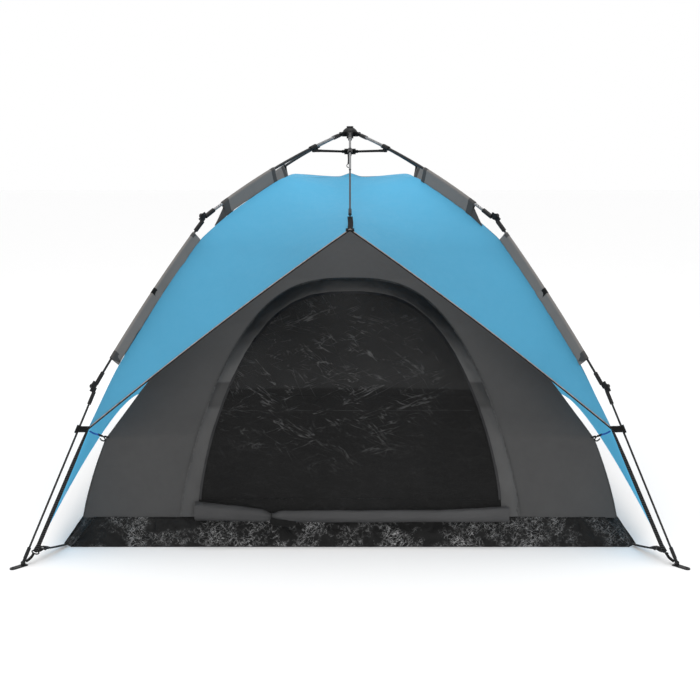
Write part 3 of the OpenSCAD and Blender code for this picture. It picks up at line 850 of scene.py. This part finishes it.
def sleeve(name, leg, at, first, last, pole_r, depth, material, rows, seed):
    """A cloth sleeve round a pole, drawn out into a flat web down to the fly."""
    lateral, part = (0.0, "upper") if at is upper_at else (LAP, "mid")
    a = LEG_ANGLE[leg]
    out = np.array([math.cos(a), math.sin(a), 0])
    aside = np.array([-math.sin(a), math.cos(a), 0])
    outer = pole_r + 0.0022
    points = []
    for j in range(rows + 1):
        share = mix(first, last, j / rows)
        r0, z0 = at(share, 0.0)
        r1, z1 = at(share, 1.0)
        normal = out * (r0 - r1) + np.array([0, 0, z0 - z1])
        centre = out * r0 + np.array([0, 0, z0]) + aside * lateral
        ripple = 0.0012 * noise.noise(Vector((share * 23, seed, 0.0)))
        ring = []
        for q in np.linspace(-math.pi, math.pi, 29):
            c, s = math.cos(q), math.sin(q)
            if c >= 0:
                ring.append(centre + normal * outer * c + aside * outer * s)
            else:
                w = mix(outer, 0.0011, min(1, (-c) ** 0.6)) * (1 if s > 0 else -1)
                if abs(c + 1) < 1e-9:
                    w = 0
                ring.append(centre + normal * depth * c + aside * (w + ripple * -c * 3))
        points.append(ring)
    obj = grid_object(name, np.array(points), material)
    return ride_piece(obj, f"{leg}_{part}")


for n, leg in enumerate(CORNERS):
    upper = sleeve(f"upper_sleeve_{leg}", leg, upper_at, 0.505, 0.868, 0.0055, 0.050, sleeve_cloth, 60, n)
    lower = sleeve(f"lower_sleeve_{leg}", leg, mid_at, 0.095, 0.845, 0.004, 0.04, sleeve_cloth, 60, n + 9)
    for tag, at, share, wide, pole_r in (
        ("band", mid_at, 0.46, 0.022, 0.0048),
        ("end_top", mid_at, 0.11, 0.016, 0.0044),
        ("end_low", mid_at, 0.825, 0.03, 0.0044),
        ("cuff_top", upper_at, 0.52, 0.018, 0.0059),
        ("cuff_low", upper_at, 0.85, 0.03, 0.0059),
    ):
        chord, depth = (0.8135, 0.0515) if at is upper_at else (0.7477, 0.0405)
        half = wide / 2 / chord
        material = webbing if tag == "band" else sleeve_dark
        sleeve(f"{tag}_{leg}", leg, at, share - half, share + half, pole_r, depth, material, 6, n)
    # Dark patch that runs on along the fly's edge below the upper sleeve.
    spots = [(0.868, 0.014), (0.868, 0.051), (0.90, 0.053), (0.945, 0.056), (0.95, 0.053), (0.915, 0.038)]
    face = [in_leg(leg, *upper_at(share, depth)) for share, depth in spots]
    side = in_leg(leg, 0, 0, 0.0012)
    verts = [p + side for p in face] + [p - side for p in face]
    m = len(face)
    faces = [tuple(range(m)), tuple(range(2 * m - 1, m - 1, -1))]
    faces += [(i, i + m, (i + 1) % m + m, (i + 1) % m) for i in range(m)]
    uv = [(p.length, p.z) for p in verts]
    patch = new_object(f"edge_patch_{leg}", verts, faces, sleeve_dark, uv, smooth=False)
    ride_piece(patch, f"{leg}_upper")

# ---------- inner tent ----------

SEAM = 0.994
ARCH_POINTS = 110
CORNER_R = ([0.1, 0.363, 0.517, 0.72, 0.88, 1.01, 1.09], [1.302, 1.262, 1.095, 0.85, 0.6, 0.35, 0.004])
FRONT_Y = ([0.1, 0.88, 1.01, 1.09], [0.965, 0.62, 0.4, 0.004])
SIDE_X = ([0.1, 0.88, 1.01, 1.09], [0.929, 0.5, 0.33, 0.004])
TOP_X, TOP_Y, ROOF = 0.929, 0.965, 1.089
# The walls start on the tub's rim, and blend from its plan into their own over this height.
WALL_FOOT, FOOT_BLEND = TUB_H + 0.002, 0.277


def wall_width(z, across_k, corner_across):
    foot = np.clip(1 - (z - TUB_H) / FOOT_BLEND, 0, 1)
    return mix(across_k * np.interp(z, *CORNER_R), corner_across, foot)


def wall_out(u, z, out_k, corner_out, middle):
    foot = np.clip(1 - (z - TUB_H) / FOOT_BLEND, 0, 1)
    o = mix(out_k * np.interp(z, *CORNER_R), corner_out, foot)
    return mix(o, np.interp(z, *middle), 1 - u * u)


def front_at(x, z):
    """A point of the front wall over (x, z)."""
    x, z = np.broadcast_arrays(np.asarray(x, float), np.asarray(z, float))
    u = np.clip(x / np.maximum(SEAM * wall_width(z, CD, TOP_X), 1e-4), -1, 1)
    y = -wall_out(u, z, SD, TOP_Y, FRONT_Y)
    return np.stack([x, y, z], axis=-1)


def arch_half_width(half, t):
    """Half the width of the doorway's arch at share t of its height."""
    return half * np.clip(1 - t**1.45, 0, None) ** (1 / 2.7)


def arch_line(half, top, foot, n=ARCH_POINTS):
    """The door's outline from its left foot over the top to its right foot: x and z."""
    straight = [(half, z) for z in np.linspace(foot, SILL, max(2, n // 12))[:-1]]
    t = np.sin(np.linspace(0, math.pi / 2, n))
    z = SILL + (top - SILL) * t
    right = np.array(straight + list(zip(arch_half_width(half, t), z)))
    line = np.vstack([right * [-1, 1], right[::-1][1:]])
    length = np.concatenate([[0], np.cumsum(np.linalg.norm(np.diff(line, axis=0), axis=1))])
    even = np.linspace(0, length[-1], 2 * n + 1)
    return np.stack([np.interp(even, length, line[:, i]) for i in (0, 1)], axis=1)


def seam_line(foot, n=ARCH_POINTS):
    """The wall's outline from one corner's foot over the apex to the other."""
    z = mix(foot, ROOF, np.linspace(0, 1, n + 1))
    x = SEAM * wall_width(z, CD, TOP_X)
    return np.vstack([np.stack([-x, z], axis=1), np.stack([x, z], axis=1)[::-1][1:]])


def inner_piece(obj, body):
    """Rides on an inner wall's body, with a mesh of its own."""
    ride_piece(obj, body)
    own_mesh(obj)


def sill_strip(name, low, high, material):
    """A strip of the front wall across the doorway."""
    x = np.linspace(-DOOR_HALF - 0.004, DOOR_HALF + 0.004, 120)[None, :]
    return grid_object(name, front_at(x, np.linspace(low, high, 10)[:, None]), material)


inside = arch_line(DOOR_HALF + 0.004, DOOR_TOP + 0.004, WALL_FOOT)
outside = seam_line(WALL_FOOT)
t = np.linspace(0, 1, 61)[None, :, None]
ring = inside[:, None] * (1 - t) + outside[:, None] * t
front_wall = wobble(front_at(ring[..., 0], ring[..., 1]), 0.16, 0.004, 4.0, (0, 1, 0))
front_obj = grid_object("inner_front_wall_cloth", front_wall, inner_cloth)
sill_obj = sill_strip("sill_cloth", WALL_FOOT, NET_FOOT, inner_cloth)
inner_piece(sill_strip("sill_net", NET_FOOT, SILL, netting), "inner_front")
front_obj = joined("inner_front_wall_cloth", [front_obj, sill_obj])
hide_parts("inner_front_wall")
inner_piece(front_obj, "inner_front")


def side_points(sx):
    u = np.linspace(-1, 1, 81)[None, :]
    z = np.linspace(WALL_FOOT, ROOF, 81)[:, None]
    out = wall_out(u, z, CD, TOP_X, SIDE_X)
    return np.stack(np.broadcast_arrays(sx * out, SEAM * u * wall_width(z, SD, TOP_Y), z), axis=2)


rear_z = np.linspace(WALL_FOOT, ROOF, 91)[:, None]
rear_points = front_at(np.linspace(-1, 1, 101)[None, :] * SEAM * wall_width(rear_z, CD, TOP_X), rear_z)
rear_points[..., 1] *= -1
rear_cloth = wobble(rear_points, 0.16, 0.004, 6.0, (0, 1, 0))
rear_obj = grid_object("inner_rear_wall_cloth", rear_cloth, inner_cloth)
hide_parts("inner_rear_wall")
inner_piece(rear_obj, "inner_rear")
for name, sx in (("left", -1), ("right", 1)):
    points = wobble(side_points(sx), 0.16, 0.004, 7.0 + sx, (1, 0, 0))
    obj = grid_object(f"inner_{name}_wall_cloth", points, inner_cloth)
    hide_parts(f"inner_{name}_wall")
    inner_piece(obj, f"inner_{name}")

# Mosquito net in the doorway.
t = np.sin(np.linspace(0, math.pi / 2, 90))[:, None]
half_w = arch_half_width(DOOR_HALF - 0.001, t)
half_w[-1] = half_w[-2] * 0.5
u = np.linspace(-1, 1, 141)[None, :]
net_points = front_at(u * half_w, SILL + (DOOR_TOP - SILL) * t)
net_points[..., 1] += 0.012 * (1 - u**2) * np.sin(math.pi * t)
net_points = wobble(net_points, 0.11, 0.006, 3.0, (0, 1, 0))
net = grid_object("door_net", net_points, netting)
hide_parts("door_mesh")
inner_piece(net, "door_mesh")


def arch_band(name, inner_grow, outer_grow, foot_grow, lift, material, foot, cols, puff=0.0, rough=0.0, seed=0):
    """A band that follows the door's outline, lifted in front of the wall."""
    a = arch_line(DOOR_HALF + inner_grow, DOOR_TOP + inner_grow, foot)
    b = arch_line(DOOR_HALF + outer_grow, DOOR_TOP + outer_grow, foot)
    low = np.clip(1 - (a[:, 1] - foot) / 0.3, 0, 1)[:, None] ** 2
    b[:, :1] += np.sign(b[:, :1]) * foot_grow * low
    s = np.linspace(0, 1, cols)[None, :]
    xz = a[:, None] * (1 - s[..., None]) + b[:, None] * s[..., None]
    points = front_at(xz[..., 0], xz[..., 1])
    points[..., 1] -= lift + puff * np.sin(math.pi * s) ** 0.7
    if rough:
        points = wobble(points, 0.05, rough, seed, (0, 1, 0))
        points = wobble(points, 0.018, rough * 0.35, seed + 4, (0, 1, 0))
    obj = grid_object(name, points, material)
    inner_piece(obj, "inner_front")
    return obj


FLAP_FOOT = TUB_H + 0.008
flap = arch_band("door_flap_cloth", 0.002, 0.046, 0.018, 0.003, flap_cloth, FLAP_FOOT, 18, 0.005, 0.004, 2.0)
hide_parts("door_flap")
arch_band("flap_outer_seam", 0.044, 0.050, 0.018, 0.004, flap_edge, FLAP_FOOT, 4, rough=0.002, seed=5.0)
arch_band("zip_line", -0.006, 0.003, 0.0, 0.003, zip_coil, SILL, 4)

# Door panel rolled along the sill and tied with a toggle.
PINCH, ROLL_Y = -0.27, -1.0
roll_x = np.linspace(-0.532, 0.545, 160)
left_side = np.clip((PINCH - roll_x) / 0.26, 0, 1)
right_side = np.clip((roll_x - 0.30) / 0.24, 0, 1)
near_pinch = np.exp(-((roll_x - PINCH) / 0.022) ** 2)
roll_r = 0.0205 + 0.011 * left_side + 0.006 * right_side - 0.009 * near_pinch
roll_z = 0.107 + 0.018 * left_side + 0.008 * right_side - 0.003 * near_pinch
roll_points = []
for i, rx in enumerate(roll_x):
    ring = []
    for q in np.linspace(0, 2 * math.pi, 36, endpoint=False):
        bump = 1 + 0.10 * noise.noise(Vector((rx * 5, math.cos(q) * 1.4, math.sin(q) * 1.4)))
        bump += 0.07 * noise.noise(Vector((rx * 22 + q * 2.2, q * 1.1, 3.0))) * (1 + 3 * near_pinch[i])
        radius = roll_r[i] * bump
        ring.append((rx, ROLL_Y + radius * math.cos(q) * 0.92, roll_z[i] + radius * math.sin(q)))
    roll_points.append(ring)
roll = grid_object("door_panel_roll", np.array(roll_points), roll_cloth, wrap=True)
ends = []
for k, side in ((0, -1), (-1, 1)):
    # The layers of cloth, as a spiral that runs 30 mm into the roll.
    q = np.linspace(0, 5.4 * math.pi, 110)
    radius = np.maximum(roll_r[k] * (1.0 - 0.15 * q / math.pi / 1.15), 0.002)
    y, z = ROLL_Y + radius * 0.9 * np.cos(q), roll_z[k] + radius * np.sin(q)
    rim = roll_x[k] - side * 0.001
    spiral = [np.stack([0 * q + x, y, z], axis=1) for x in (rim, rim - side * 0.03)]
    ends.append(grid_object("roll_end", np.stack(spiral, axis=1), roll_cloth))
roll = joined("door_panel_roll", [roll, *ends])
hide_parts("door_roll")
inner_piece(roll, "inner_front")

tie_path = ring_path((PINCH, ROLL_Y, 0.107), (0, 0.0125, 0), (0, 0, 0.0145))
tie = swept("roll_tie", tie_path, flat_section(0.010, 0.0014), webbing, up=(1, 0, 0))
inner_piece(tie, "inner_front")
toggle_path = [(PINCH - 0.004, -1.018, 0.096), (PINCH + 0.03, -1.02, 0.090), (PINCH + 0.085, -1.012, 0.0885)]
inner_piece(strap("roll_toggle", toggle_path, 12, 0.022, 0.003, (0, -1, 0.2)), "inner_front")

# Corner seams of the inner tent.
z = np.linspace(WALL_FOOT, ROOF, 70)
for leg, (sx, sy) in CORNERS.items():
    wide = wall_width(z, CD, TOP_X) * 0.997
    out = wall_out(np.ones_like(z), z, SD, TOP_Y, FRONT_Y) * 0.999
    path = np.stack([sx * wide, sy * out, z], axis=1)
    seam = swept(f"corner_seam_{leg}", path, circle(0.0022, 8), inner_cloth, up=(sx, sy, 0))
    inner_piece(seam, "inner_front" if sy < 0 else "inner_rear")

# ---------- tub floor ----------

FLOOR_X, FLOOR_Y = 0.99, 1.01
FLOOR_CHAMFER, RIM_CHAMFER = 0.03, 0.045


def tub_outline(x, y, cut, n):
    """Half of the tub's plan outline, from the middle of one side round the end to the other."""
    key = [(-x, 0), (-x, y - cut), (-x + cut, y), (x - cut, y), (x, y - cut), (x, 0)]
    counts = [n, 8, 2 * n, 8, n]
    out = []
    for (a, b), count in zip(zip(key, key[1:]), counts):
        for i in range(count):
            t = i / count
            out.append((mix(a[0], b[0], t), mix(a[1], b[1], t)))
    out.append(key[-1])
    return np.array(out)


for name, sy in (("front", -1), ("rear", 1)):
    low = tub_outline(FLOOR_X, FLOOR_Y, FLOOR_CHAMFER, 60)
    high = tub_outline(TOP_X, TOP_Y, RIM_CHAMFER, 60)
    t = np.linspace(0, 1, 16)[:, None]
    plan = mix(low, high, t[..., None])
    z = 0.001 + (TUB_H + 0.003) * t
    wall = np.stack(np.broadcast_arrays(plan[..., 0], sy * plan[..., 1], z), axis=2)
    crinkled = wobble(wall, 0.035, 0.0045, 1.0 + sy)
    crinkled = wobble(crinkled, 0.013, 0.0018, 2.0 + sy)
    fade = np.clip(np.minimum(wall[..., 2] / 0.02, (TUB_H + 0.004 - wall[..., 2]) / 0.012), 0, 1)[..., None]
    crinkled = wall + (crinkled - wall) * fade
    crinkled[..., 2] = np.maximum(crinkled[..., 2], 0.0008)
    crinkled[:, 0, 1] = crinkled[:, -1, 1] = 0
    side_obj = grid_object(f"tub_wall_{name}", crinkled, tub_sheet)
    gx = np.linspace(-0.985, 0.985, 90)[None, :]
    gy = np.linspace(0.0, 1.005, 50)[:, None]
    base = np.stack(np.broadcast_arrays(gx, sy * gy, 0.0012 + 0 * gx), axis=2)
    past = np.abs(base[..., 0]) + np.abs(base[..., 1]) - (FLOOR_X + FLOOR_Y - FLOOR_CHAMFER)
    corner = np.clip(past / 2, 0, None)
    base[..., 0] -= np.sign(base[..., 0]) * corner
    base[..., 1] -= sy * corner
    base_wavy = wobble(base, 0.09, 0.003, 9.0, (0, 0, 1))
    base_wavy[..., 2] = np.clip(base_wavy[..., 2], 0.0008, 0.005)
    floor_obj = grid_object(f"tub_base_{name}", base_wavy, tub_sheet)
    tub = joined(f"tub_{name}", [side_obj, floor_obj])
    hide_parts(f"floor_{name}")
    inner_piece(tub, f"floor_{name}")
    # Sewn joint between the tub and the wall, and the two seams of each corner gusset.
    top = np.stack([high[:, 0], sy * high[:, 1], np.full(len(high), WALL_FOOT)], axis=1)[2:-2]
    seam = swept(f"tub_seam_{name}", wobble(top, 0.03, 0.0015, 5.0), circle(0.0032, 8, 0.7), tub_sheet)
    inner_piece(seam, f"floor_{name}")
    for sx in (-1, 1):
        for k, (lo, hi) in enumerate((((0.96, 1.01), (0.884, 0.965)), ((0.99, 0.98), (0.929, 0.92)))):
            start = np.array([sx * lo[0], sy * lo[1], 0.002])
            path = start + np.linspace(0, 1, 14)[:, None] * ([sx * hi[0], sy * hi[1], WALL_FOOT] - start)
            path = wobble(path, 0.02, 0.001, 3.0)
            rib = swept(f"gusset_{name}_{'lr'[sx > 0]}{k}", path, circle(0.0022, 8), tub_sheet, up=(0, sy, 0))
            inner_piece(rib, f"floor_{name}")

# ---------- straps, cords and fittings ----------

UP = Vector((0, 0, 1))
# Ends of a ladder-lock buckle's bars, across and along the strap: three rungs and two rails.
BUCKLE_BARS = [((-0.016, y), (0.016, y)) for y in (-0.012, 0.0, 0.013)]
BUCKLE_BARS += [((x, -0.014), (x, 0.015)) for x in (-0.014, 0.014)]

for leg, (sx, sy) in CORNERS.items():
    # Tab: webbing round the lower pole, sewn to the fly's corner.
    pole = in_leg(leg, 1.3775, 0.4185, 2 * LAP)
    corner = on_diagonal(leg, TAB_R, TAB_Z)
    out = (pole - corner).normalized()
    tab_points = [corner - out * 0.004, mix(corner, pole, 0.5), pole - out * 0.002]
    ride_piece(strap(f"pole_tab_{leg}", tab_points, 8, 0.028, 0.003, (0, -sy, 0.25)), f"{leg}_lower")
    way = leg_directions(leg)["lower"]
    wrap_path = smooth_path([pole - way * 0.014, pole, pole + way * 0.014], 6)
    wrap = swept(f"tab_wrap_{leg}", wrap_path, circle(0.0062, 14), webbing, up=(0, -sy, 0.3))
    ride_piece(wrap, f"{leg}_lower")
    # Elastic tie from the fly's corner to the inner tent's corner, with its hook.
    inner_corner = Vector((sx * 0.994 * CD * 1.262, sy * SD * 1.262, 0.365))
    start = corner - Vector((sx * 0.006, sy * 0.004, 0.008))
    hook_at = mix(start, inner_corner, 0.50)
    cord_points = smooth_path([start, mix(start, hook_at, 0.5) + Vector((0, 0, -0.002)), hook_at], 14)
    data = bpy.data.curves.new(f"elastic_tie_{leg}", "CURVE")
    data.dimensions = "3D"
    data.bevel_depth = 0.0028
    data.bevel_resolution = 3
    data.use_fill_caps = True
    spline = data.splines.new("POLY")
    spline.points.add(len(cord_points) - 1)
    for point, co in zip(spline.points, cord_points):
        point.co = (*co, 1)
    data.materials.append(elastic)
    tie = add_object(f"elastic_tie_{leg}", data)
    ride_piece(tie, f"{leg}_lower")
    bend_at = mix(hook_at, inner_corner, 0.45)
    stem_path = smooth_path([hook_at - (inner_corner - hook_at) * 0.1, bend_at], 6)
    stem = swept(f"tie_hook_{leg}", stem_path, circle(0.0042, 10, 0.6), plastic, up=(0, -sy, 0.3))
    run = (inner_corner - hook_at).normalized()
    turn = np.linspace(0, 1.35 * math.pi, 14)
    curl = [bend_at + run * 0.012 * math.sin(q) - UP * 0.008 * (1 - math.cos(q)) for q in turn]
    curl_obj = swept("curl", curl, circle(0.0024, 8), plastic, up=(0, -sy, 0.31))
    hook = joined(f"tie_hook_{leg}", [stem, curl_obj])
    ride_piece(hook, f"{leg}_lower")
    loop_end = inner_corner + Vector((-sx * 0.004, -sy * 0.004, 0))
    loop_points = [bend_at + run * 0.008, mix(bend_at, inner_corner, 0.6) + UP * 0.003, loop_end]
    loop = strap(f"corner_loop_{leg}", loop_points, 8, 0.009, 0.002, (0, -sy, 0.5))
    inner_piece(loop, "inner_front" if sy < 0 else "inner_rear")
    # Corner strap: tub corner, ladder-lock buckle, ring, loop to the foot.
    floor_corner = Vector((sx * (FLOOR_X - 0.012), sy * (FLOOR_Y - 0.012), 0.006))
    ring_at = on_diagonal(leg, 1.553, 0.034)
    foot_at = in_leg(leg, 1.590, 0.012, 2 * LAP)
    buckle_at = mix(floor_corner, ring_at, 0.72) + UP * 0.004
    strap_points = [floor_corner, mix(floor_corner, buckle_at, 0.5) - UP * 0.001, buckle_at]
    ride_piece(strap(f"corner_strap_{leg}", strap_points, 12, 0.018, 0.0018, UP), f"{leg}_foot")
    run = (ring_at - buckle_at).normalized()
    aside = run.cross(UP).normalized()
    lift = aside.cross(run)
    bars = []
    for k, (a, b) in enumerate(BUCKLE_BARS):
        p = buckle_at + aside * a[0] + run * a[1] + lift * 0.003
        q = buckle_at + aside * b[0] + run * b[1] + lift * (0.003 if k != 1 else 0.006)
        bar_path = smooth_path([p, mix(p, q, 0.5) + lift * 0.001, q], 6)
        bars.append(swept(f"bar{k}", bar_path, circle(0.0026, 10), plastic, up=tuple(lift)))
    ride_piece(joined(f"buckle_{leg}", bars), f"{leg}_foot")
    link_start = buckle_at + run * 0.010 + lift * 0.003
    link_points = [link_start, mix(buckle_at, ring_at, 0.6), ring_at - run * 0.006]
    ride_piece(strap(f"ring_strap_{leg}", link_points, 8, 0.018, 0.002, UP), f"{leg}_foot")
    ring = torus(f"strap_ring_{leg}", ring_at, run * 0.011, aside * 0.0108 + lift * 0.004, 0.0023, plastic)
    ride_piece(ring, f"{leg}_foot")
    foot_points = [ring_at + run * 0.006, mix(ring_at, foot_at, 0.5) - UP * 0.003, foot_at]
    ride_piece(strap(f"foot_strap_{leg}", foot_points, 10, 0.016, 0.003, UP), f"{leg}_foot")

for name, sy in (("front", -1), ("rear", 1)):
    # Eave tape from the rib's hook to the peak of the V hem.
    top = Vector((0, sy * 0.7425, 1.1215))
    peak = Vector((0, sy * 0.832, PEAK_Z))
    slant = (0, sy * 0.6, 1)
    tape_points = [top, mix(top, peak, 0.5) + Vector((0.002, 0, -0.001)), peak]
    ride_piece(strap(f"eave_tape_{name}", tape_points, 12, 0.019, 0.0024, slant), f"{name}_rib")
    patch_points = [peak + Vector((0, -sy * 0.008, 0.004)), peak + Vector((0, sy * 0.006, -0.004))]
    ride_piece(strap(f"eave_patch_{name}", patch_points, 4, 0.03, 0.003, slant), f"{name}_rib")

# Pull tape under the runner.
pull_top = Vector((-0.006, -0.004, 1.337))
pull_points = [pull_top, pull_top + Vector((0.001, -0.001, -0.022)), pull_top - UP * 0.042]
pull = strap("pull_tape", pull_points, 10, 0.009, 0.002, (0, -1, 0))
pull_ring = torus("pull_ring", pull_top - UP * 0.048, (0.0075, 0, 0), (0, 0, 0.0075), 0.0016, plastic)
pull = joined("pull_tape", [pull, pull_ring])
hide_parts("pull_handle")
ride_piece(pull, "runner")
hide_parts("straps")

# ---------- studio ----------

floor_mesh = bpy.data.meshes.new("studio_floor")
floor_mesh.from_pydata([(-30, -30, 0), (30, -30, 0), (30, 30, 0), (-30, 30, 0)], [], [(0, 1, 2, 3)])
floor = add_object("studio_floor", floor_mesh)
paper = Tree("studio_paper")
paper.link(paper.tint((0.98, 0.98, 0.98), 0.998, 1.002, paper.noise(place_of(paper), 3.0)), "Base Color")
paper.set(Roughness=0.9, Specular_IOR_Level=0.1)
floor_mesh.materials.append(paper.material)


def area_light(name, location, target, size, power):
    data = bpy.data.lights.new(name, "AREA")
    data.shape = "RECTANGLE"
    data.size, data.size_y = size
    data.energy = power
    light = add_object(name, data)
    light.location = location
    light.rotation_mode = "QUATERNION"
    light.rotation_quaternion = (Vector(target) - Vector(location)).to_track_quat("-Z", "Y")


area_light("key", (-2.6, -4.2, 4.2), (0, 0, 0.6), (3.0, 3.0), 16)
area_light("front", (0.6, -5.6, 1.0), (0, 0, 0.6), (3.4, 1.8), 30)
area_light("top", (0, -0.4, 5.2), (0, 0, 0.8), (3.0, 3.0), 60)
world = bpy.data.worlds.new("studio")
world.use_nodes = True
world.node_tree.nodes["Background"].inputs[0].default_value = (1, 1, 1, 1)
world.node_tree.nodes["Background"].inputs[1].default_value = 1.0
bpy.context.scene.world = world
bpy.context.scene.view_settings.view_transform = "Standard"
